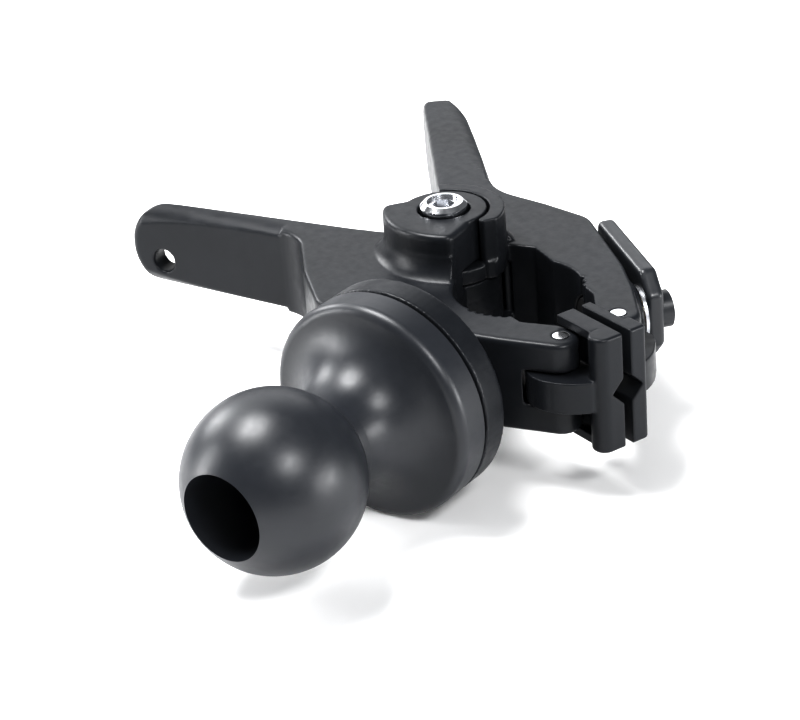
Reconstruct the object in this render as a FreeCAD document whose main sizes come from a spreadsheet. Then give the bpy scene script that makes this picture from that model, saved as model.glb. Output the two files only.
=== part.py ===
"""Spring-loaded claw mount: a peg-like clamp for a handlebar, with a ball for a phone holder.

The frame: +Z runs along the hinge pin and the rail, the origin is the centre of the rail
opening, +X points to the jaw tips and +Y to the outer jaw. All lengths are millimetres.
The inner jaw lies on the -Y side and carries the ball; the outer jaw lies on the +Y side
and carries the tightening knob. Most features have a twin mirrored in the plane Z = 0.
"""
import FreeCAD, Part
import math
import os
import re
import Sketcher

Vector = FreeCAD.Vector

SIZES = {
    # jaws and rail opening
    "half_height": 7.2,
    "rim_round": 1.3,
    "plate_rim": 0.8,
    "rail_radius": 9.5,
    "tooth_radius": 0.5,
    "tooth_step": 8.0,
    "tooth_start": 48.0,
    "ear_x": 16.9,
    "ear_y": 5.6,
    "ear_radius": 2.9,
    "ear_slope": 57.424,
    "notch_x": 9.4,
    "notch_y": 6.6,
    "mouth_x": 14.0,
    "mouth_y": 3.4,
    "flank_x": 11.8,
    "flank_y": 12.3,
    "flat_x": 4.8,
    "flat_y": 16.1,
    "inner_hump_x": -15.5,
    "inner_hump_y": 25.0,
    "inner_shoulder_x": -26.5,
    "inner_shoulder_y": 20.3,
    "inner_waist_x": -34.5,
    "inner_waist_y": 15.7,
    "inner_neck_x": -41.3,
    "inner_neck_y": 15.2,
    "inner_neck_bow": 7.7,
    "inner_joint_x": -42.8,
    "inner_joint_y": 12.5,
    "outer_hump_x": -12.0,
    "outer_hump_y": 23.1,
    "outer_shoulder_x": -20.8,
    "outer_shoulder_y": 21.5,
    "outer_waist_x": -27.0,
    "outer_waist_y": 19.9,
    "outer_neck_x": -34.29,
    "outer_neck_y": 20.75,
    "outer_neck_bow": 10.4,
    "outer_joint_x": -37.6,
    "outer_joint_y": 15.4,
    "outer_heel_x": -25.0,
    "outer_heel_y": 7.0,
    "relief_x": -8.8,
    "relief_y": 10.0,
    "relief_angle": 59.0,
    # hinge
    "pivot_x": -17.7,
    "boss_top": 13.9,
    "boss_core": 6.5,
    "boss_left_radius": 9.6,
    "boss_left": 217.6,
    "boss_right_radius": 10.7,
    "boss_right": -30.3,
    "boss_face": 3.0,
    "boss_heel": 195.0,
    "boss_round": 0.8,
    "boss_x": -16.9,
    "boss_y": 2.42,
    "boss_sweep": 11.65,
    "skirt_start": 224.6,
    "skirt_end": 317.2,
    "skirt_width": 2.9,
    "skirt_height": 3.4,
    "skirt_bow": 4.0,
    "skirt_root": 0.5,
    "wall_inside": 6.9,
    "wall_outside": 9.2,
    "wall_start": 11.0,
    "wall_end": 150.0,
    "wall_skirt_start": 62.0,
    "wall_skirt_end": 128.0,
    "wall_skirt_width": 2.2,
    "wall_skirt_height": 2.8,
    "wall_skirt_bow": 3.4,
    "drum_radius": 8.1,
    "drum_half": 4.2,
    "drum_cavity": 5.9,
    "drum_groove": 0.35,
    "knuckle_top": 6.8,
    "hinge_gap": 0.2,
    "turn_gap": 0.4,
    "sleeve_radius": 3.0,
    "running_gap": 0.05,
    # wings
    "inner_wing_x": -26.0,
    "inner_wing_y": -0.9,
    "inner_wing_angle": 29.0,
    "inner_wing_length": 49.5,
    "inner_wing_root": 8.2,
    "inner_wing_tip": 3.6,
    "inner_wing_bow": 245.0,
    "outer_wing_x": -22.6,
    "outer_wing_y": 3.3,
    "outer_wing_angle": 31.6,
    "outer_wing_length": 61.0,
    "outer_wing_root": 9.3,
    "outer_wing_tip": 6.2,
    "outer_wing_bow": 933.0,
    "wing_end_round": 6.9,
    "inner_ease_x": 20.0,
    "inner_ease_y": 7.0,
    "inner_ease_angle": 6.6,
    "outer_ease_x": 24.0,
    "outer_ease_y": 10.9,
    "outer_ease_angle": 4.5,
    "nose_x": 45.0,
    "nose_y": -14.6,
    "nose_radius": 22.0,
    "ease_radius": 5.0,
    "ease_reach": 60.0,
    "tether_radius": 2.0,
    "tether_inset": 6.0,
    "tether_z": -2.0,
    # ball and its stem
    "ball_radius": 12.7,
    "ball_x": 13.0,
    "ball_y": -51.0,
    "ball_angle": 19.2,
    "ball_mouth": 6.35,
    "ball_floor": 4.0,
    "stem_radius": 7.3,
    "flange_radius": 16.3,
    "flange_front": 21.1,
    "flange_back": 26.6,
    "flange_round": 1.3,
    "dish_radius": 9.0,
    "pad_depth": 4.2,
    "cone_end": 43.0,
    "cone_radius": 6.8,
    "cone_bow": 13.0,
    # screws, nuts and inserts
    "pivot_screw": 2.0,
    "pivot_screw_end": -12.6,
    "pivot_key": 3.0,
    "ball_key": 4.0,
    "ball_key_depth": 2.2,
    "pivot_key_depth": 1.5,
    "lip_share": 0.7,
    "lip_depth": 0.5,
    "pivot_head": 3.6,
    "pivot_head_top": 15.1,
    "pivot_head_height": 4.0,
    "counterbore": 4.0,
    "washer_height": 0.5,
    "nut_flats": 7.0,
    "nut_height": 3.2,
    "nut_face": -9.8,
    "ball_screw_radius": 2.5,
    "ball_screw_head": 4.25,
    "ball_screw_height": 5.0,
    "ball_screw_end": 34.4,
    "ball_washer_height": 1.0,
    "insert_radius": 3.6,
    "ball_insert_length": 8.5,
    # spring
    "spring_radius": 4.5,
    "spring_wire": 0.6,
    "spring_pitch": 1.3,
    "spring_turns": 5.0,
    "leg_top": 6.2,
    "leg_reach": 8.6,
    # swivelling pads
    "pin_x": 16.8,
    "pin_y": 5.2,
    "pin_radius": 1.15,
    "pad_gap": 0.7,
    "pad_half": 9.0,
    "pad_inner": 14.2,
    "pad_block": 21.4,
    "pad_outer": 25.1,
    "near_pad_depth": 4.9,
    "near_pad_round": 1.8,
    "far_pad_depth": 3.5,
    "far_pad_round": 0.6,
    "finger_depth": 2.3,
    "cap_depth": 3.7,
    "cap_bottom": 7.6,
    "lug_radius": 5.2,
    "lug_half": 2.4,
    "slot_radius": 5.7,
    "slot_half": 2.7,
    "vee_half": 2.7,
    "arm_bow": 9.0,
    "arm_back": 0.5,
    # tightening knob
    "knob_x": 9.02,
    "knob_y": 19.8,
    "knob_angle": 19.2,
    "nub_radius": 2.4,
    "nub_top": 1.1,
    "plate_outer": -0.9,
    "plate_inner": -3.6,
    "plate_end": 3.6,
    "plate_cheek": 4.0,
    "plate_cut": 0.4,
    "plate_half": 7.1,
    "plate_tail": 18.4,
    "tail_half": 7.7,
    "plate_round": 0.8,
    "seat_level": -4.6,
    "seat_radius": 5.4,
    "seat_depth": 4.0,
    "knob_screw_radius": 2.5,
    "knob_insert_radius": 3.4,
    "knob_insert_length": 3.3,
    "knob_washer_radius": 4.3,
    "shoe_radius": 3.9,
    "shoe_height": 1.6,
    "shoe_face": -12.1,
    "tip_radius": 1.5,
    "tip_length": 0.9,
}

DOC = FreeCAD.newDocument("claw_mount")
SHEET = DOC.addObject("Spreadsheet::Sheet", "Sizes")
PARTS = []


def fill_sheet():
    """Write each driving size into the sheet as a plain number with an alias."""
    for row, (alias, size) in enumerate(SIZES.items(), start=1):
        SHEET.set(f"A{row}", alias)
        SHEET.set(f"B{row}", str(size))
        SHEET.setAlias(f"B{row}", alias)
    DOC.recompute()


def bound(text):
    """The expression with every alias written as a cell of the sheet."""
    return re.sub(r"[a-z]\w*", lambda word: f"Sizes.{word[0]}" if word[0] in SIZES else word[0], str(text))


def amount(text):
    """The present value of an expression."""
    return float(SHEET.evalExpression(bound(text)))


def bind(item, **sizes):
    """Bind properties of an object to expressions of the sheet."""
    for name, text in sizes.items():
        item.setExpression(name, bound(text))


def place(item, x=0, y=0, z=0, axis=(0, 0, 1), angle=0):
    """Put an object at a bound position, turned about an axis by a bound angle in degrees."""
    item.Placement = FreeCAD.Placement(Vector(), FreeCAD.Rotation(Vector(*axis), amount(angle)))
    for letter, text in zip("xyz", (x, y, z)):
        item.setExpression(f"Placement.Base.{letter}", bound(text))
    return item


def along(item, x, y, angle, z=0):
    """Lay a part that was drawn along +Z on a level axis that leans by angle from +Y to -X."""
    level_turn = FreeCAD.Rotation(Vector(1, 0, 0), -90)
    leaning = FreeCAD.Rotation(Vector(0, 0, 1), amount(angle))
    item.Placement = FreeCAD.Placement(Vector(), leaning.multiply(level_turn))
    for letter, text in zip("xyz", (x, y, z)):
        item.setExpression(f"Placement.Base.{letter}", bound(text))
    return item


def cylinder(name, radius, low, high, x=0, y=0, start=0, sweep=360):
    """An upright cylinder, or a sector of one, between two heights."""
    bar = DOC.addObject("Part::Cylinder", name)
    bind(bar, Radius=radius, Height=f"({high}) - ({low})", Angle=sweep)
    return place(bar, x, y, low, angle=start)


def fuse(name, items):
    """One solid from several that meet."""
    union = DOC.addObject("Part::MultiFuse", name)
    union.Shapes = items
    union.Refine = True
    return union


def cut(name, base, tools):
    """The base less the tools."""
    rest = DOC.addObject("Part::Cut", name)
    rest.Base = base
    rest.Tool = tools[0] if len(tools) == 1 else fuse(f"{name}_tools", tools)
    rest.Refine = True
    return rest


def finish(item, label):
    """Name a finished piece and add it to the list that is exported."""
    item.Label = label
    PARTS.append(item)
    return item


def round_edge(start, end, radius):
    """An arc of a circle from start to end; a positive radius runs anticlockwise."""
    chord = end - start
    side = Vector(-chord.y, chord.x, 0).normalize()
    rise = math.sqrt(max(radius ** 2 - chord.Length ** 2 / 4, 0.0))
    centre = (start + end) * 0.5 + side * math.copysign(rise, radius)
    first, last = (start, end) if radius > 0 else (end, start)
    angles = [math.atan2(point.y - centre.y, point.x - centre.x) for point in (first, last)]
    if angles[1] < angles[0]:
        angles[1] += 2 * math.pi
    return Part.ArcOfCircle(Part.Circle(centre, Vector(0, 0, 1), abs(radius)), *angles)


def outline(body, name, plane, points, arcs=None):
    """A closed sketch on one of the body's own planes, with every corner bound to the sheet.

    points holds pairs of expressions. arcs maps the number of a corner to the radius of the
    arc that leaves it, positive where it runs anticlockwise.
    """
    sketch = body.newObject("Sketcher::SketchObject", name)
    support = [item for item in body.Origin.OriginFeatures if item.Role == plane][0]
    sketch.AttachmentSupport = [(support, "")]
    sketch.MapMode = "FlatFace"
    corners = [Vector(amount(x), amount(y), 0) for x, y in points]
    ends = []
    for number, start in enumerate(corners):
        end = corners[(number + 1) % len(corners)]
        radius = amount((arcs or {}).get(number, 0))
        edge = round_edge(start, end, radius) if radius else Part.LineSegment(start, end)
        sketch.addGeometry(edge)
        ends.append((2, 1) if radius < 0 else (1, 2))
    for number, (first, last) in enumerate(ends):
        after = (number + 1) % len(ends)
        sketch.addConstraint(Sketcher.Constraint("Coincident", number, last, after, ends[after][0]))
        for kind, text in zip(("DistanceX", "DistanceY"), points[number]):
            rule = Sketcher.Constraint(kind, -1, 1, number, first, amount(text))
            sketch.setExpression(f"Constraints[{sketch.addConstraint(rule)}]", bound(text))
        if number in (arcs or {}):
            size = f"abs({arcs[number]})"
            rule = Sketcher.Constraint("Radius", number, amount(size))
            sketch.setExpression(f"Constraints[{sketch.addConstraint(rule)}]", bound(size))
    return sketch


def new_body(name):
    """An empty PartDesign body."""
    return DOC.addObject("PartDesign::Body", name)


def pad(body, name, sketch, length):
    """Pad a sketch to both sides of its plane."""
    solid = body.newObject("PartDesign::Pad", name)
    solid.Profile = sketch
    solid.SideType = "Symmetric"
    bind(solid, Length=length)
    DOC.recompute()
    return solid


def revolve(body, name, sketch):
    """Turn a sketch of the XZ plane all the way round the body's Z axis."""
    solid = body.newObject("PartDesign::Revolution", name)
    solid.Profile = sketch
    solid.ReferenceAxis = (sketch, ["V_Axis"])
    solid.Angle = 360
    DOC.recompute()
    return solid


def turned(name, points, arcs=None):
    """A round piece from its half section, given as pairs of radius and height."""
    body = new_body(name)
    revolve(body, f"{name}_turn", outline(body, f"{name}_section", "XZ_Plane", points, arcs))
    return body


def rounded(body, name, radius, wanted):
    """Fillet the edges of the body's last feature that the test wants."""
    base = body.Tip
    edges = [f"Edge{number}" for number, edge in enumerate(base.Shape.Edges, start=1) if wanted(edge)]
    fillet = body.newObject("PartDesign::Fillet", name)
    fillet.Base = (base, edges)
    bind(fillet, Radius=radius)
    DOC.recompute()
    return fillet


def level(edge, height):
    """Whether an edge lies flat at this height, above or below the middle plane."""
    box = edge.BoundBox
    return box.ZLength < 1e-4 and abs(abs(box.ZMax) - height) < 1e-4


def polar(radius, angle, x="pivot_x", side=1):
    """A point about the hinge, as a pair of expressions."""
    return f"{x} + ({radius}) * cos({angle})", f"{side} * ({radius}) * sin({angle})"


def jaw_slab(name, side, inner_corners):
    """The flat plate of one jaw, from the rounded ear at its tip to the hollow at the root of its wing."""
    jaw = "inner" if side < 0 else "outer"
    ear_top = ("ear_x", f"{side} * (ear_y - ear_radius)")
    ear_end = ("ear_x + ear_radius * cos(ear_slope)", f"{side} * (ear_y + ear_radius * sin(ear_slope))")
    corners = [ear_top, ear_end]
    own = [f"{jaw}_{spot}" for spot in ("hump", "shoulder", "waist", "neck", "joint")]
    for spot in ("flank", "flat", *own):
        corners.append((f"{spot}_x", f"{side} * {spot}_y"))
    arcs = {0: f"{side} * ear_radius", len(corners) - 3: f"{-side} * {jaw}_neck_bow"}
    corners += inner_corners
    corners += [("notch_x", f"{side} * notch_y"), ("mouth_x", f"{side} * mouth_y")]
    body = new_body(name)
    sketch = outline(body, f"{name}_outline", "XY_Plane", corners, arcs)
    pad(body, f"{name}_pad", sketch, "2 * half_height")
    outside = [Vector(amount(x), amount(y), 0) for x, y in corners[2:6]]

    def at_corner(edge):
        middle = edge.BoundBox.Center
        return edge.BoundBox.ZLength > 1 and any((middle - spot).Length < 0.01 for spot in outside)

    rounded(body, f"{name}_corners", "4 * rim_round", at_corner)

    def outer_rim(edge):
        x, y = edge.BoundBox.Center.x, side * edge.BoundBox.Center.y
        inside_wing = x < amount(f"{jaw}_waist_x") and y < amount(f"{jaw}_neck_y - rim_round")
        on_outside = y > amount("notch_y + ear_radius") and not inside_wing
        return level(edge, amount("half_height")) and (on_outside or x > amount("ear_x"))

    rounded(body, f"{name}_rims", "plate_rim", outer_rim)
    return body


def wing_ease(name, side):
    """The tool that rounds a wing's outer face, over and under, more and more towards its end."""
    jaw = "inner" if side < 0 else "outer"
    parts = []
    width = "2 * ease_radius"
    for word, across, tall in (("block", width, "4 * half_height"),
                               ("core", "ease_radius", "2 * (half_height - ease_radius)")):
        box = DOC.addObject("Part::Box", f"{name}_{word}")
        bind(box, Length="ease_reach", Width=across, Height=tall)
        parts.append(place(box, 0, "0" if side < 0 else f"-({across})", f"-({tall}) / 2"))
    block, core = parts
    rods = []
    for word, sign in (("above", ""), ("below", "-")):
        rod = cylinder(f"{name}_{word}", "ease_radius", "0", "ease_reach")
        rods.append(place(rod, 0, 0, f"{sign}(half_height - ease_radius)", (0, 1, 0), 90))
    tool = cut(name, block, [fuse(f"{name}_bar", [core, *rods])])
    start = f"{-side} * ({jaw}_ease_y - ease_radius)"
    return place(tool, f"{jaw}_ease_x", start, 0, angle=f"{side} * {jaw}_ease_angle")


def wing_nose(name):
    """The tool that rounds the end of the outer wing in plan, from its outer face to its inner one."""
    box = DOC.addObject("Part::Box", f"{name}_block")
    bind(box, Length="2 * nose_radius", Width="2 * nose_radius", Height="4 * half_height")
    place(box, "nose_x", "-nose_y - 2 * nose_radius", "-2 * half_height")
    post = cylinder(f"{name}_post", "nose_radius", "-3 * half_height", "3 * half_height", "nose_x",
                    "-nose_y")
    return cut(name, box, [post])


def wing(name, side, root, tip, length, bow, x, y, angle):
    """One squeezing wing: a plate that thins and rounds off towards its end."""
    body = new_body(name)
    points = [("0", "0"), (length, "0"), (length, tip), ("0", root)]
    if side > 0:
        points = [(across, f"-({out})") for across, out in reversed(points)]
        arcs = {0: bow}
    else:
        arcs = {2: bow}
    pad(body, f"{name}_pad", outline(body, f"{name}_outline", "XY_Plane", points, arcs), "2 * half_height")
    end = amount(length)

    def end_edge(edge):
        return level(edge, amount("half_height")) and abs(edge.BoundBox.Center.x - end) < 0.01

    rounded(body, f"{name}_end", "wing_end_round", end_edge)

    def long_edge(edge):
        return edge.BoundBox.XLength > 3 and edge.BoundBox.XMax > end - 8

    rounded(body, f"{name}_rims", "rim_round", long_edge)
    tools = [wing_ease(f"{name}_ease", side)]
    if side > 0:
        tools.append(wing_nose(f"{name}_nose"))
    shaped = cut(f"{name}_shaped", body, tools)
    return place(shaped, x, y, 0, angle=f"180 + {-side} * {angle}")


def mirrored(name, radius, low, high, x=0, y=0, start=0, sweep=360):
    """A cylinder above the middle plane and its twin below."""
    above = cylinder(f"{name}_above", radius, low, high, x, y, start, sweep)
    below = cylinder(f"{name}_below", radius, f"-({high})", f"-({low})", x, y, start, sweep)
    return [above, below]


def grooved(radius, half, groove):
    """The half section of a drum with two shallow grooves round it."""
    points = [("0", f"-{half}"), (radius, f"-{half}")]
    for middle in (f"-{half} / 3", f"{half} / 3"):
        low, high = f"{middle} - {groove} / 2", f"{middle} + {groove} / 2"
        bottom = f"{radius} - {groove}"
        points += [(radius, low), (bottom, low), (bottom, high), (radius, high)]
    return points + [(radius, half), ("0", half)]


def rail_cut(name):
    """The space of the rail itself."""
    return cylinder(name, "rail_radius", "-3 * half_height", "3 * half_height")


def rail_teeth(name, side, count):
    """Small upright grooves that leave a row of teeth at the tip end of the rail seat."""
    return [
        cylinder(
            f"{name}_{number}", "tooth_radius", "-3 * half_height", "3 * half_height",
            f"rail_radius * cos(tooth_start + {number} * tooth_step)",
            f"{side} * rail_radius * sin(tooth_start + {number} * tooth_step)",
        )
        for number in range(count)
    ]


def ear_cuts(name, side):
    """The slot for a pad's lug and the hole for its pin."""
    y = f"{side} * pin_y"
    slot = cylinder(f"{name}_slot", "slot_radius", "-slot_half", "slot_half", "pin_x", y)
    hole = cylinder(f"{name}_pin_hole", "pin_radius", "-2 * half_height", "2 * half_height", "pin_x", y)
    return [slot, hole]


def ball_seat():
    """The rounded cone behind the flange that joins the ball to the inner jaw."""
    return along(turned("inner_seat", [
        ("0", "flange_back"),
        ("flange_radius", "flange_back"),
        ("flange_radius", "flange_back + pad_depth"),
        ("cone_radius", "cone_end"),
        ("0", "cone_end"),
    ], {2: "-cone_bow"}), "ball_x", "ball_y", "ball_angle")


def hinge_boss():
    """The tall boss round the hinge, open towards the outer jaw above and below the plates."""
    body = new_body("inner_boss")
    sketch = outline(body, "inner_boss_outline", "XY_Plane", [
        polar("boss_left_radius", "boss_left"),
        polar("boss_right_radius", "boss_right"),
        polar("boss_core", "boss_face"),
        ("pivot_x", "0"),
        polar("boss_core", "boss_heel"),
    ], {0: "boss_sweep"})
    pad(body, "inner_boss_pad", sketch, "2 * boss_top")

    def from_hinge(edge):
        middle = edge.BoundBox.Center
        return math.hypot(middle.x - amount("pivot_x"), middle.y)

    def outer_upright(edge):
        return edge.BoundBox.ZLength > 1 and from_hinge(edge) > amount("boss_core") + 1

    def end_rim(edge):
        return level(edge, amount("boss_top")) and from_hinge(edge) > amount("boss_core") - 1

    rounded(body, "inner_boss_corners", "rim_round", outer_upright)
    rounded(body, "inner_boss_rims", "boss_round", end_rim)
    return body


def skirt(name, radius, width, height, bow, x, y, start, end):
    """Hollow curves that ease an upright round wall into the top and the underside of a plate."""
    foot = "half_height - skirt_root"
    above = place(turned(f"{name}_above", [
        ("0", foot),
        (f"{radius} + {width}", foot),
        (radius, f"half_height + {height}"),
        ("0", f"half_height + {height}"),
    ], {1: f"-{bow}"}), x, y)
    below = place(turned(f"{name}_below", [
        ("0", f"-(half_height + {height})"),
        (radius, f"-(half_height + {height})"),
        (f"{radius} + {width}", f"-({foot})"),
        ("0", f"-({foot})"),
    ], {1: f"-{bow}"}), x, y)
    sector = cylinder(f"{name}_sector", f"{radius} + {width}", "-2 * half_height", "2 * half_height", x, y,
                      start, f"{end} - {start}")
    ease = DOC.addObject("Part::Common", name)
    ease.Base = fuse(f"{name}_rings", [above, below])
    ease.Tool = sector
    return ease


def tether_hole():
    """The tool for the hole through the end of the inner wing."""
    reach = "(inner_wing_length - tether_inset)"
    return along(
        ring("inner_tether", "0", "tether_radius", "-ball_radius", "ball_radius"),
        f"inner_wing_x - {reach} * cos(inner_wing_angle)", f"inner_wing_y - {reach} * sin(inner_wing_angle)",
        "inner_wing_angle", "tether_z",
    )


def inner_bores():
    """The tools for every bore, pocket and slot of the inner jaw."""
    nut_pocket = DOC.addObject("Part::Prism", "inner_nut_pocket")
    nut_pocket.Polygon = 6
    bind(nut_pocket, Circumradius="nut_flats / sqrt(3) + hinge_gap", Height="boss_top")
    place(nut_pocket, "pivot_x", 0, "nut_face - boss_top")
    insert_hole = ring("inner_insert_hole", "0", "insert_radius", "flange_back - 1",
                       "flange_back + ball_insert_length")
    along(insert_hole, "ball_x", "ball_y", "ball_angle")
    under_head = "pivot_head_top - pivot_head_height - washer_height"
    top = "2 * boss_top"
    return [
        cylinder("inner_cavity", "drum_cavity", "-drum_half - 0.01", "drum_half + 0.01", "pivot_x"),
        cylinder("inner_pivot_hole", "pivot_screw + running_gap", "-2 * boss_top", top, "pivot_x"),
        cylinder("inner_counterbore", "counterbore", under_head, top, "pivot_x"),
        nut_pocket,
        tether_hole(),
        insert_hole,
        spring_leg("inner_leg_slot", "spring_wire + running_gap"),
    ]


def inner_jaw():
    """The jaw that carries the ball: plate, wing, ball seat, hinge drum and the two hinge bosses."""
    side = -1
    plate = jaw_slab("inner_plate", side, [
        ("inner_wing_x", "inner_wing_y"),
        ("pivot_x", "0"),
        polar("boss_right_radius", "boss_right"),
    ])
    lever = wing(
        "inner_wing", side, "inner_wing_root", "inner_wing_tip", "inner_wing_length", "-inner_wing_bow",
        "inner_wing_x", "inner_wing_y", "inner_wing_angle",
    )
    core = cylinder("inner_core", "boss_core", "-boss_top", "boss_top", "pivot_x")
    drum = place(turned("inner_drum", grooved("drum_radius", "drum_half", "drum_groove")), "pivot_x")
    ease = skirt("inner_skirt", "boss_sweep", "skirt_width", "skirt_height", "skirt_bow", "boss_x", "boss_y",
                 "skirt_start", "skirt_end")
    whole = fuse("inner_whole", [plate, lever, ball_seat(), hinge_boss(), core, ease])
    bands = mirrored("inner_band", "drum_radius + turn_gap", "drum_half", "knuckle_top + hinge_gap",
                     "pivot_x")
    teeth = rail_teeth("inner_tooth", side, 5)
    open_jaw = cut("inner_open", whole, [rail_cut("inner_rail"), *bands, *teeth])
    with_drum = fuse("inner_with_drum", [open_jaw, drum])
    return finish(cut("inner_cut", with_drum, [*inner_bores(), *ear_cuts("inner", side)]), "inner_jaw")


def outer_jaw():
    """The jaw that carries the knob: plate, wing, knob seat, two hinge knuckles and their end walls."""
    side = 1
    plate = jaw_slab("outer_plate", side, [
        ("outer_heel_x", "outer_heel_y"),
        ("pivot_x", "0"),
        polar("drum_radius", "relief_angle"),
        ("relief_x", "relief_y"),
    ])
    lever = wing(
        "outer_wing", side, "outer_wing_root", "outer_wing_tip", "outer_wing_length", "outer_wing_bow",
        "outer_wing_x", "outer_wing_y", "outer_wing_angle",
    )
    seat = along(ring("outer_seat", "0", "seat_radius", "seat_level - seat_depth", "seat_level"),
                 "knob_x", "knob_y", "-knob_angle")
    wall = cylinder("outer_wall", "wall_outside", "-boss_top", "boss_top", "pivot_x", 0,
                    "wall_start", "wall_end - wall_start")
    knuckles = mirrored("outer_knuckle", "drum_radius", "drum_half + hinge_gap", "knuckle_top", "pivot_x")
    ease = skirt("outer_skirt", "wall_outside", "wall_skirt_width", "wall_skirt_height", "wall_skirt_bow",
                 "pivot_x", "0", "wall_skirt_start", "wall_skirt_end")
    whole = fuse("outer_whole", [plate, lever, seat, wall, ease])
    drum_end = "drum_half + hinge_gap"
    drum_space = cylinder("outer_drum_space", "drum_radius + turn_gap", f"-({drum_end})", drum_end,
                          "pivot_x")
    core_spaces = mirrored("outer_core_space", "wall_inside", "knuckle_top", "2 * boss_top", "pivot_x")
    teeth = rail_teeth("outer_tooth", side, 3)
    window = cylinder("outer_window", "wall_outside + turn_gap", f"-({drum_end})", drum_end, "pivot_x",
                      sweep="relief_angle")
    relief = mirrored("outer_relief", "rail_radius + turn_gap", "half_height", "2 * boss_top")
    tools = [rail_cut("outer_rail"), *relief, drum_space, window, *core_spaces, *teeth]
    open_jaw = cut("outer_open", whole, tools)
    with_knuckles = fuse("outer_with_knuckles", [open_jaw, *knuckles])
    knob_hole = along(turned("outer_knob_hole", [
        ("0", "shoe_face - 3 * shoe_height"),
        ("shoe_radius + hinge_gap", "shoe_face - 3 * shoe_height"),
        ("shoe_radius + hinge_gap", "seat_level - knob_insert_length"),
        ("knob_insert_radius", "seat_level - knob_insert_length"),
        ("knob_insert_radius", "seat_level + shoe_height"),
        ("0", "seat_level + shoe_height"),
    ]), "knob_x", "knob_y", "-knob_angle")
    jaw = cut("outer_cut", with_knuckles, [
        cylinder("outer_sleeve_hole", "sleeve_radius + running_gap", "-boss_top", "boss_top", "pivot_x"),
        knob_hole, *ear_cuts("outer", side),
        cylinder("outer_leg_hole", "spring_wire + running_gap", "drum_half", "leg_top + running_gap",
                 "pivot_x", "-spring_radius"),
    ])
    return finish(jaw, "outer_jaw")


def ball_base():
    """The ball, its stem and the round flange, bored for one screw."""
    base = turned("ball_solid", [
        ("ball_screw_radius + hinge_gap", "ball_floor"),
        ("ball_mouth", "ball_floor"),
        ("ball_mouth", "-sqrt(ball_radius ^ 2 - ball_mouth ^ 2)"),
        ("stem_radius", "sqrt(ball_radius ^ 2 - stem_radius ^ 2)"),
        ("stem_radius", "flange_front - flange_radius + stem_radius"),
        ("flange_radius - flange_round", "flange_front - flange_round / 4"),
        ("flange_radius", "flange_front + flange_round"),
        ("flange_radius", "flange_back - flange_round / 2"),
        ("flange_radius - flange_round / 2", "flange_back"),
        ("ball_screw_radius + hinge_gap", "flange_back"),
    ], {2: "ball_radius", 4: "-dish_radius", 5: "flange_round * 1.2"})
    return finish(along(base, "ball_x", "ball_y", "ball_angle"), "ball_base")


def on_axis(x, y, angle, shift):
    """A point on a level axis, a distance along it from its own origin."""
    return f"{x} - ({shift}) * sin({angle})", f"{y} + ({shift}) * cos({angle})"


def ring(name, inside, outside, low, high):
    """A plain washer, sleeve or insert round its own Z axis."""
    return turned(name, [(inside, low), (outside, low), (outside, high), (inside, high)])


def socket_screw(name, radius, length, head_radius, head_height, key, key_depth):
    """A cap screw hanging down from the lip of its hollow head, with a hexagon socket in the hollow."""
    chamfer = f"{radius} * 0.3"
    end = f"-{head_height} - ({length})"
    body = turned(name, [
        ("0", end),
        (f"{radius} - {chamfer}", end),
        (radius, f"{end} + {chamfer}"),
        (radius, f"-{head_height}"),
        (head_radius, f"-{head_height}"),
        (head_radius, f"-{chamfer}"),
        (f"{head_radius} - {chamfer}", "0"),
        (f"{head_radius} * lip_share", "0"),
        (f"{head_radius} * lip_share", "-lip_depth"),
        ("0", "-lip_depth"),
    ])
    across = f"{key} / sqrt(3)"
    corners = [(f"{across} * cos({60 * turn})", f"{across} * sin({60 * turn})") for turn in range(6)]
    hexagon = outline(body, f"{name}_hexagon", "XY_Plane", corners)
    socket = body.newObject("PartDesign::Pocket", f"{name}_socket")
    socket.Profile = hexagon
    socket.SideType = "Symmetric"
    bind(socket, Length=f"2 * {key_depth}")
    return body


def ball_fixings():
    """The screw through the ball, the washer under its head and the insert that it holds to."""
    head_top = "ball_floor - ball_washer_height - ball_screw_height"
    shank = "ball_screw_end - ball_floor + ball_washer_height"
    screw = socket_screw("ball_bolt", "ball_screw_radius", shank, "ball_screw_head", "ball_screw_height",
                         "ball_key", "ball_key_depth")
    start = on_axis("ball_x", "ball_y", "ball_angle", head_top)
    finish(along(screw, *start, "ball_angle + 180"), "ball_screw")
    washer = ring("ball_ring", "ball_screw_radius + running_gap", "ball_mouth - 2 * hinge_gap",
                  "ball_floor - ball_washer_height", "ball_floor")
    finish(along(washer, "ball_x", "ball_y", "ball_angle"), "ball_washer")
    insert = ring("ball_nut", "ball_screw_radius", "insert_radius", "flange_back",
                  "flange_back + ball_insert_length")
    finish(along(insert, "ball_x", "ball_y", "ball_angle"), "ball_insert")


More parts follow.
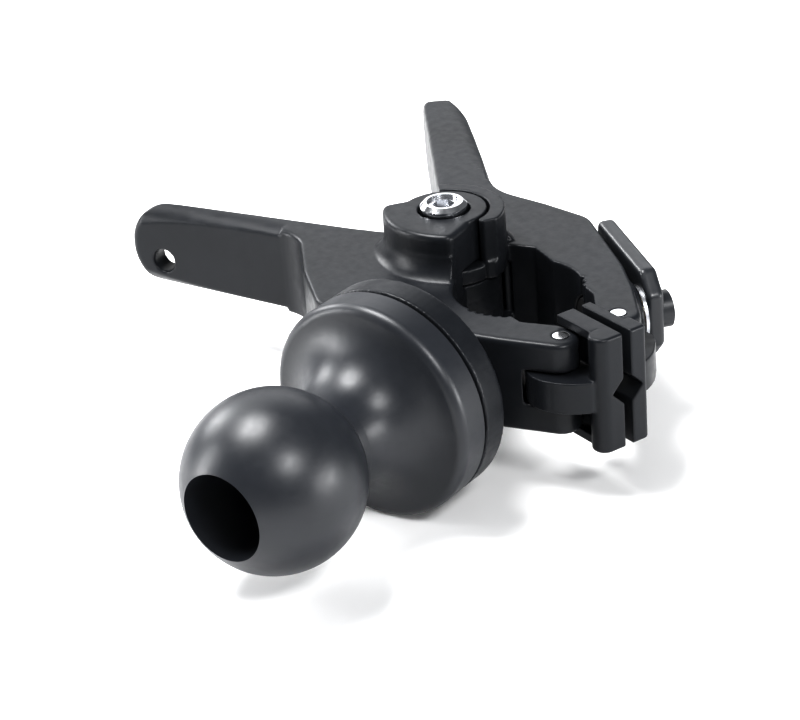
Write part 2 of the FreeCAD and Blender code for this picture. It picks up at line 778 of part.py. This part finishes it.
def hinge_fixings():
    """The hinge screw with its washer, nut and sleeve."""
    under_head = "pivot_head_top - pivot_head_height"
    screw = socket_screw("hinge_bolt", "pivot_screw", f"{under_head} - pivot_screw_end", "pivot_head",
                         "pivot_head_height", "pivot_key", "pivot_key_depth")
    finish(place(screw, "pivot_x", 0, "pivot_head_top"), "pivot_screw")
    washer = ring("hinge_ring", "pivot_screw + running_gap", "counterbore - hinge_gap",
                  f"{under_head} - washer_height", under_head)
    finish(place(washer, "pivot_x"), "pivot_washer")
    sleeve = ring("hinge_sleeve", "pivot_screw + running_gap", "sleeve_radius", "-knuckle_top - hinge_gap",
                  "knuckle_top + hinge_gap")
    finish(place(sleeve, "pivot_x"), "pivot_sleeve")
    blank = DOC.addObject("Part::Prism", "hinge_nut_blank")
    blank.Polygon = 6
    bind(blank, Circumradius="nut_flats / sqrt(3)", Height="nut_height")
    place(blank, "pivot_x", 0, "nut_face - nut_height")
    bore = cylinder("hinge_nut_bore", "pivot_screw", "nut_face - 2 * nut_height", "nut_face + nut_height",
                    "pivot_x")
    finish(cut("hinge_nut", blank, [bore]), "pivot_nut")


def spring_leg(name, radius):
    """The leg of the spring that lies in the drum, from the coil straight out towards -Y."""
    leg = DOC.addObject("Part::Cylinder", name)
    bind(leg, Radius=radius, Height="leg_reach - spring_radius")
    return place(leg, "pivot_x", "-spring_radius", "-spring_pitch * spring_turns / 2", (1, 0, 0), 90)


def torsion_spring():
    """The coil round the sleeve, with one leg in each jaw."""
    helix = DOC.addObject("Part::Helix", "spring_helix")
    bind(helix, Pitch="spring_pitch", Height="spring_pitch * spring_turns", Radius="spring_radius")
    section = DOC.addObject("Part::Circle", "spring_section")
    bind(section, Radius="spring_wire")
    place(section, "spring_radius", 0, 0, (1, 0, 0), 90)
    coil = DOC.addObject("Part::Sweep", "spring_coil")
    coil.Sections = [section]
    coil.Spine = (helix, ["Edge1"])
    coil.Solid = True
    coil.Frenet = True
    place(coil, "pivot_x", 0, "-spring_pitch * spring_turns / 2", angle=-90)
    upright = cylinder("spring_upright", "spring_wire", "spring_pitch * spring_turns / 2", "leg_top",
                       "pivot_x", "-spring_radius")
    leg = spring_leg("spring_leg", "spring_wire")
    finish(fuse("spring_whole", [coil, upright, leg]), "torsion_spring")


def facing(side, points):
    """Points drawn for the +Y side, put on either side of the middle plane in the same turning order."""
    return [(x, f"{side} * ({y})") for x, y in (points if side > 0 else reversed(points))]


def pad_face(name, side, depth, corner):
    """The long face block of a pad, with the two fingers that reach back over the ear."""
    face = new_body(f"{name}_face")
    sketch = outline(face, f"{name}_face_outline", "XY_Plane", facing(side, [
        ("pad_inner", "pad_gap"),
        ("pad_outer", "pad_gap"),
        ("pad_outer", depth),
        ("pad_block", depth),
        ("pad_block", "finger_depth"),
        ("pad_inner", "finger_depth"),
    ]))
    pad(face, f"{name}_face_pad", sketch, "2 * pad_half")

    def back_corner(edge):
        middle = edge.BoundBox.Center
        return edge.BoundBox.ZLength > 1 and side * middle.y > amount(depth) - 0.1

    def tip_rim(edge):
        return level(edge, amount("pad_half")) and edge.BoundBox.XMin > amount("pad_block") - 0.1

    rounded(face, f"{name}_corners", corner, back_corner)
    rounded(face, f"{name}_rims", "rim_round / 3", tip_rim)
    return face


def pad_lug(name, side, depth):
    """The lug that the pin passes through and the curved arm that joins it to the face."""
    arm = new_body(f"{name}_arm")
    sketch = outline(arm, f"{name}_arm_outline", "XY_Plane", facing(side, [
        ("pin_x", "pad_gap + arm_back"),
        ("pad_outer - rim_round", "pad_gap + arm_back"),
        ("pad_outer - rim_round", f"{depth} + arm_back"),
        ("pin_x", "pin_y + lug_radius"),
    ]), {2 if side > 0 else 0: "arm_bow"})
    pad(arm, f"{name}_arm_pad", sketch, "2 * lug_half")
    lug = cylinder(f"{name}_lug", "lug_radius", "-lug_half", "lug_half", "pin_x", f"{side} * pin_y")
    beyond = DOC.addObject("Part::Box", f"{name}_beyond")
    bind(beyond, Length="2 * lug_radius + pad_outer", Width="2 * lug_radius", Height="4 * pad_half")
    near = "pad_gap - 2 * lug_radius" if side > 0 else "-pad_gap"
    place(beyond, "pad_inner - lug_radius", near, "-2 * pad_half")
    return cut(f"{name}_trim", fuse(f"{name}_lug_arm", [lug, arm]), [beyond])


def pad_caps(name):
    """The thicker ends of the near pad's fingers, above and below the ear."""
    caps = []
    for word, low in (("above", "cap_bottom"), ("below", "-pad_half")):
        cap = DOC.addObject("Part::Box", f"{name}_cap_{word}")
        bind(cap, Length="pad_block - pad_inner", Width="cap_depth - pad_gap",
             Height="pad_half - cap_bottom")
        caps.append(place(cap, "pad_inner", "-cap_depth", low))
    return caps


def swivel_pad(label, side):
    """One of the two pads that swivel at the jaw tips and meet face to face, with its pin."""
    name = f"{label}_solid"
    y = f"{side} * pin_y"
    vee = DOC.addObject("Part::Prism", f"{name}_vee")
    vee.Polygon = 4
    bind(vee, Circumradius="vee_half", Height="2 * pad_outer")
    place(vee, 0, 0, 0, (0, 1, 0), 90)
    hole = cylinder(f"{name}_hole", "pin_radius + running_gap", "-pad_half", "pad_half", "pin_x", y)
    depth, corner = f"{label}_depth", f"{label}_round"
    caps = pad_caps(name) if side < 0 else []
    whole = fuse(f"{name}_whole", [pad_face(name, side, depth, corner), pad_lug(name, side, depth), *caps])
    finish(cut(name, whole, [vee, hole]), label)
    finish(cylinder(f"{name}_pin", "pin_radius", "-half_height", "half_height", "pin_x", y), f"{label}_pin")


def knob_plate():
    """The lever plate of the knob, with cut corners at the screw's end and a long square tail."""
    plate = new_body("knob_plate")
    thickness = "plate_outer - plate_inner"
    sketch = outline(plate, "knob_plate_outline", "XY_Plane", [
        ("plate_cut", "-plate_half"),
        ("plate_end", "-plate_cheek"),
        ("plate_end", "plate_cheek"),
        ("plate_cut", "plate_half"),
        ("-plate_tail", "tail_half"),
        ("-plate_tail", "-tail_half"),
    ])
    pad(plate, "knob_plate_pad", sketch, thickness)

    def corner(edge):
        return edge.BoundBox.ZLength > 1

    def rim(edge):
        return level(edge, amount(thickness) / 2)

    rounded(plate, "knob_plate_corners", "rim_round", corner)
    rounded(plate, "knob_plate_rims", "plate_round", rim)
    middle = on_axis("knob_x", "knob_y", "-knob_angle", "(plate_outer + plate_inner) / 2")
    return along(plate, *middle, "-knob_angle")


def knob_parts():
    """The tightening knob with its cap, screw and washer, the insert in the jaw and the pressing shoe."""
    axis = ("knob_x", "knob_y", "-knob_angle")
    hole = ring("knob_plate_hole", "0", "knob_screw_radius", "2 * plate_inner", "-2 * plate_inner")
    finish(cut("knob_solid", knob_plate(), [along(hole, *axis)]), "lever_knob")
    cap = turned("knob_button", [
        ("0", "plate_outer"),
        ("nub_radius + 2 * hinge_gap", "plate_outer"),
        ("nub_radius + 2 * hinge_gap", "nub_top - hinge_gap"),
        ("nub_radius", "nub_top"),
        ("0", "nub_top"),
    ])
    finish(along(cap, *axis), "knob_cap")
    screw = turned("knob_thread", [
        ("0", "shoe_face + shoe_height - tip_length"),
        ("tip_radius", "shoe_face + shoe_height - tip_length"),
        ("tip_radius", "shoe_face + shoe_height + running_gap"),
        ("knob_screw_radius", "shoe_face + shoe_height + running_gap"),
        ("knob_screw_radius", "plate_outer"),
        ("0", "plate_outer"),
    ])
    finish(along(screw, *axis), "knob_screw")
    washer = ring("knob_ring", "knob_screw_radius", "knob_washer_radius", "plate_inner - washer_height",
                  "plate_inner")
    finish(along(washer, *axis), "knob_washer")
    insert = ring("knob_nut", "knob_screw_radius + running_gap", "knob_insert_radius",
                  "seat_level - knob_insert_length", "seat_level")
    finish(along(insert, *axis), "knob_insert")
    socket_end = "shoe_face + shoe_height - tip_length - running_gap"
    shoe = turned("knob_foot", [
        ("0", "shoe_face"),
        ("shoe_radius - hinge_gap", "shoe_face"),
        ("shoe_radius", "shoe_face + hinge_gap"),
        ("shoe_radius", "shoe_face + shoe_height"),
        ("tip_radius + running_gap", "shoe_face + shoe_height"),
        ("tip_radius + running_gap", socket_end),
        ("0", socket_end),
    ])
    finish(along(shoe, *axis), "thrust_shoe")


def check_model():
    """Stop if any object failed or any finished piece isn't a valid solid."""
    DOC.recompute()
    for item in DOC.Objects:
        if "Invalid" in item.State or "Error" in item.State:
            raise RuntimeError(f"{item.Name} failed: {item.State}")
    for item in PARTS:
        if item.Shape.isNull() or not item.Shape.isValid() or not item.Shape.Solids:
            raise RuntimeError(f"{item.Label} has no valid solid")


def export_parts():
    """Write each finished piece to a STEP file named after it."""
    os.makedirs("parts", exist_ok=True)
    for item in PARTS:
        item.Shape.exportStep(f"parts/{item.Label}.step")
        print(f"{item.Label}: {len(item.Shape.Solids)} solid, {item.Shape.Volume / 1000:.2f} cm3")


fill_sheet()
inner_jaw()
outer_jaw()
ball_base()
ball_fixings()
hinge_fixings()
torsion_spring()
swivel_pad("near_pad", -1)
swivel_pad("far_pad", 1)
knob_parts()
check_model()
export_parts()
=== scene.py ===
"""Claw mount for a handlebar: materials, fine shape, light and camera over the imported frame.

Units are metres, in the frame of the CAD: +Z along the hinge pin and the rail, the origin in
the rail opening, +X to the jaw tips, +Y to the outer jaw and -Y to the ball.
"""
import math
import bpy
from mathutils import Matrix, Vector


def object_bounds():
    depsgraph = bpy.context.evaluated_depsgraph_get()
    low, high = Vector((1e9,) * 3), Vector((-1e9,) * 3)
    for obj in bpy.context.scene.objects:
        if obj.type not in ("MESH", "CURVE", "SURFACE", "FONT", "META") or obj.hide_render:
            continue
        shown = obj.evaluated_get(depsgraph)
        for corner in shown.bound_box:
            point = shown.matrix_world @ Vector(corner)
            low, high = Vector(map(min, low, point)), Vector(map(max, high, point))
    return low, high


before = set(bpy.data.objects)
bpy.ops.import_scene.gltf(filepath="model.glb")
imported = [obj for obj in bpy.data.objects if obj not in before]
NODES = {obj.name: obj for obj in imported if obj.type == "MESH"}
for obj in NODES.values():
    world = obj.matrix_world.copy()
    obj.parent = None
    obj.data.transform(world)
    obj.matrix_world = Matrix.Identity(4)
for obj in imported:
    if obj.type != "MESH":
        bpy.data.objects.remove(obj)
CAD_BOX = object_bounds()
MM = 0.001


# ---------------------------------------------------------------- materials

CLOUD_SCALE = 90
GLOSS_SCALE = 700
GRAIN_SCALE = 2600
PATCH_SCALE = 500
CLOUD_DEPTH = 0.0003
GRAIN_DEPTH = 0.00004
LINE_DEPTH = 0.00001


def principled(name):
    """A new material with its node tree, shader and object coordinates."""
    material = bpy.data.materials.new(name)
    material.use_nodes = True
    tree = material.node_tree
    shader = tree.nodes["Principled BSDF"]
    place = tree.nodes.new("ShaderNodeTexCoord").outputs["Object"]
    return material, tree, shader, place


def noise(tree, place, scale, detail=4.0, rough=0.55):
    """A fractal noise whose features are about 1/scale metres across."""
    node = tree.nodes.new("ShaderNodeTexNoise")
    node.inputs["Scale"].default_value = scale
    node.inputs["Detail"].default_value = detail
    node.inputs["Roughness"].default_value = rough
    tree.links.new(place, node.inputs["Vector"])
    return node.outputs["Fac"]


def spread(tree, source, low, high, start=0.3, end=0.7):
    """Map a 0..1 pattern to the range low..high."""
    node = tree.nodes.new("ShaderNodeMapRange")
    node.inputs["From Min"].default_value = start
    node.inputs["From Max"].default_value = end
    node.inputs["To Min"].default_value = low
    node.inputs["To Max"].default_value = high
    tree.links.new(source, node.inputs["Value"])
    return node.outputs["Result"]


def two_tones(tree, source, dark, light):
    """A colour that runs from dark to light with a 0..1 pattern."""
    node = tree.nodes.new("ShaderNodeValToRGB")
    first, last = node.color_ramp.elements
    first.position, first.color = 0.3, (*dark, 1)
    last.position, last.color = 0.7, (*light, 1)
    tree.links.new(source, node.inputs["Fac"])
    return node.outputs["Color"]


def bump(tree, source, height, strength, before=None):
    """Relief from a 0..1 pattern; height is its depth in metres."""
    node = tree.nodes.new("ShaderNodeBump")
    node.inputs["Distance"].default_value = height
    node.inputs["Strength"].default_value = strength
    tree.links.new(source, node.inputs["Height"])
    if before is not None:
        tree.links.new(before, node.inputs["Normal"])
    return node.outputs["Normal"]


def moulded_plastic(name, dark, light, smooth, rough, grain, shine):
    """Satin moulded plastic: cloudy tone, fine spark-eroded grain and uneven gloss."""
    material, tree, shader, place = principled(name)
    clouds = noise(tree, place, CLOUD_SCALE, 3)
    fine = noise(tree, place, GRAIN_SCALE, 3, 0.6)
    gloss = noise(tree, place, GLOSS_SCALE, 4)
    tree.links.new(two_tones(tree, clouds, dark, light), shader.inputs["Base Color"])
    tree.links.new(spread(tree, gloss, smooth, rough), shader.inputs["Roughness"])
    relief = bump(tree, fine, GRAIN_DEPTH, grain)
    relief = bump(tree, clouds, CLOUD_DEPTH, 0.06, relief)
    tree.links.new(relief, shader.inputs["Normal"])
    shader.inputs["Specular IOR Level"].default_value = shine
    return material


def worked_metal(name, dark, light, smooth, rough, lines):
    """Machined metal with fine turning lines and a few duller patches."""
    material, tree, shader, place = principled(name)
    shader.inputs["Metallic"].default_value = 1.0
    patches = noise(tree, place, PATCH_SCALE, 4)
    wave = tree.nodes.new("ShaderNodeTexWave")
    wave.wave_type = "RINGS"
    wave.rings_direction = "Z"
    wave.inputs["Scale"].default_value = lines
    wave.inputs["Distortion"].default_value = 0.6
    wave.inputs["Detail"].default_value = 2.0
    tree.links.new(place, wave.inputs["Vector"])
    tree.links.new(two_tones(tree, patches, dark, light), shader.inputs["Base Color"])
    tree.links.new(spread(tree, patches, smooth, rough), shader.inputs["Roughness"])
    tree.links.new(bump(tree, wave.outputs["Fac"], LINE_DEPTH, 0.15), shader.inputs["Normal"])
    return material


BODY = moulded_plastic("charcoal_body", (0.012, 0.0135, 0.0165), (0.016, 0.018, 0.022),
                       smooth=0.31, rough=0.42, grain=0.18, shine=0.34)
BALL = moulded_plastic("charcoal_ball", (0.019, 0.0212, 0.026), (0.024, 0.0266, 0.0325),
                       smooth=0.36, rough=0.42, grain=0.08, shine=0.62)
KNOB = moulded_plastic("charcoal_knob", (0.020, 0.022, 0.026), (0.026, 0.0285, 0.033),
                       smooth=0.30, rough=0.40, grain=0.16, shine=0.6)
RUBBER = moulded_plastic("black_rubber", (0.012, 0.012, 0.013), (0.02, 0.02, 0.021),
                         smooth=0.6, rough=0.75, grain=0.4, shine=0.32)
BRIGHT = worked_metal("bright_steel", (0.62, 0.63, 0.65), (0.80, 0.81, 0.83),
                      smooth=0.12, rough=0.24, lines=900)
STEEL = worked_metal("plain_steel", (0.42, 0.43, 0.45), (0.58, 0.59, 0.61),
                     smooth=0.25, rough=0.42, lines=1200)
BRASS = worked_metal("turned_brass", (0.62, 0.44, 0.18), (0.78, 0.60, 0.30),
                     smooth=0.22, rough=0.38, lines=1400)

FINISHES = {
    BODY: ("inner_jaw", "outer_jaw", "near_pad", "far_pad"),
    BALL: ("ball_base",),
    KNOB: ("lever_knob", "knob_cap"),
    RUBBER: ("thrust_shoe",),
    BRIGHT: ("pivot_screw", "near_pad_pin", "far_pad_pin"),
    STEEL: ("pivot_washer", "pivot_nut", "pivot_sleeve", "ball_screw", "ball_washer", "knob_screw",
            "knob_washer", "torsion_spring"),
    BRASS: ("ball_insert", "knob_insert"),
}


def paint(piece, material):
    """Put one material on a whole piece."""
    piece.data.materials.clear()
    piece.data.materials.append(material)


for finish, names in FINISHES.items():
    for name in names:
        paint(NODES[name], finish)


# ---------------------------------------------------------------- moulded edges

def moulded(node, voxel, passes):
    """Give a CAD node the soft edges and blends of a moulding."""
    remesh = node.modifiers.new("remesh", "REMESH")
    remesh.mode = "VOXEL"
    remesh.voxel_size = voxel
    remesh.use_smooth_shade = True
    smooth = node.modifiers.new("smooth", "SMOOTH")
    smooth.factor = 0.5
    smooth.iterations = passes


# Each moulding's node, its voxel size in metres and its smoothing passes.
MOULDINGS = (
    ("inner_jaw", 0.00022, 5),
    ("outer_jaw", 0.00022, 5),
    ("near_pad", 0.00016, 3),
    ("far_pad", 0.00016, 3),
    ("lever_knob", 0.0002, 4),
)

for name, voxel, passes in MOULDINGS:
    moulded(NODES[name], voxel, passes)


# ---------------------------------------------------------------- floor, light and camera

FLOOR_HALF = 3.0
CAMERA_AZIMUTH = -1.0023919
CAMERA_TILT = 0.4780046
CAMERA_ROLL = -0.0823032
CAMERA_OFFSET = Vector((14.9694, 6.0864, 357.332)) * MM
CAMERA_ORIGIN = Vector((-4.7, 0, 0)) * MM
CAMERA_LENS = 108.0


def floor():
    """A wide pale floor under the lowest point."""
    low = CAD_BOX[0][2]
    mesh = bpy.data.meshes.new("floor")
    corners = [(-FLOOR_HALF, -FLOOR_HALF, low), (FLOOR_HALF, -FLOOR_HALF, low),
               (FLOOR_HALF, FLOOR_HALF, low), (-FLOOR_HALF, FLOOR_HALF, low)]
    mesh.from_pydata(corners, [], [(0, 1, 2, 3)])
    piece = bpy.data.objects.new("floor", mesh)
    bpy.context.scene.collection.objects.link(piece)
    material, tree, shader, place = principled("white_floor")
    tone = noise(tree, place, 3, 2)
    pale = two_tones(tree, tone, (0.90, 0.90, 0.90), (0.92, 0.92, 0.92))
    tree.links.new(pale, shader.inputs["Base Color"])
    shader.inputs["Roughness"].default_value = 0.9
    shader.inputs["Specular IOR Level"].default_value = 0.1
    piece.data.materials.append(material)


def panel(name, spot, aim, size, power):
    """A soft rectangular light panel at a spot, turned towards an aim."""
    light = bpy.data.lights.new(name, "AREA")
    light.shape = "RECTANGLE"
    light.size, light.size_y = size
    light.energy = power
    lamp = bpy.data.objects.new(name, light)
    bpy.context.scene.collection.objects.link(lamp)
    spot, aim = Vector(spot), Vector(aim)
    turn = (aim - spot).to_track_quat("-Z", "Y").to_matrix().to_4x4()
    lamp.matrix_world = Matrix.Translation(spot) @ turn


def from_camera(right, away, up):
    """A place given by its distances from the origin: to the camera's right, away from it and up."""
    level = Vector((RIGHT.x, RIGHT.y, 0)).normalized()
    ahead = Vector((FORWARD.x, FORWARD.y, 0)).normalized()
    return level * right + ahead * away + Vector((0, 0, up))


def surroundings(tone, strength):
    """An even pale room."""
    world = bpy.data.worlds.new("room")
    world.use_nodes = True
    back = world.node_tree.nodes["Background"]
    back.inputs["Color"].default_value = (*tone, 1)
    back.inputs["Strength"].default_value = strength
    bpy.context.scene.world = world


def camera():
    """The camera at the photograph's angle and distance; gives its forward and right directions."""
    forward = Vector((math.sin(CAMERA_AZIMUTH) * math.cos(CAMERA_TILT),
                      math.cos(CAMERA_AZIMUTH) * math.cos(CAMERA_TILT), -math.sin(CAMERA_TILT)))
    level = Vector((math.cos(CAMERA_AZIMUTH), -math.sin(CAMERA_AZIMUTH), 0))
    upright = level.cross(forward)
    right = math.cos(CAMERA_ROLL) * level + math.sin(CAMERA_ROLL) * upright
    above = math.cos(CAMERA_ROLL) * upright - math.sin(CAMERA_ROLL) * level
    aside = right * CAMERA_OFFSET.x + above * CAMERA_OFFSET.y
    spot = CAMERA_ORIGIN - (aside + forward * CAMERA_OFFSET.z)
    lens = bpy.data.cameras.new("camera")
    lens.sensor_width = 36.0
    lens.lens = CAMERA_LENS
    lens.clip_start = 0.01
    item = bpy.data.objects.new("camera", lens)
    bpy.context.scene.collection.objects.link(item)
    turn = Matrix((right, above, -forward)).transposed().to_4x4()
    item.matrix_world = Matrix.Translation(spot) @ turn
    bpy.context.scene.camera = item
    return forward, right


floor()
FORWARD, RIGHT = camera()
surroundings((0.95, 0.97, 1.0), 0.26)
panel("overhead", from_camera(-0.18, 0.05, 0.50), (0, 0, 0), (0.24, 0.22), 4.8)
panel("back", from_camera(-0.16, 0.80, 0.46), (0, 0, 0), (1.20, 0.60), 4.4)
panel("back_left", from_camera(-0.62, 0.62, 0.40), (-0.03, -0.01, 0), (0.36, 0.30), 4.6)
panel("left_strip", from_camera(-0.46, 0.02, 0.12), (0, -0.02, 0), (0.10, 0.26), 1.5)
panel("front_right", from_camera(0.17, -0.34, 0.38), (0, -0.03, 0), (0.16, 0.11), 2.2)
panel("low_right", from_camera(0.50, -0.20, 0.08), (0.02, 0, 0), (0.30, 0.12), 2.2)
bpy.context.scene.view_settings.gamma = 0.70
bpy.context.scene.view_settings.view_transform = "Standard"
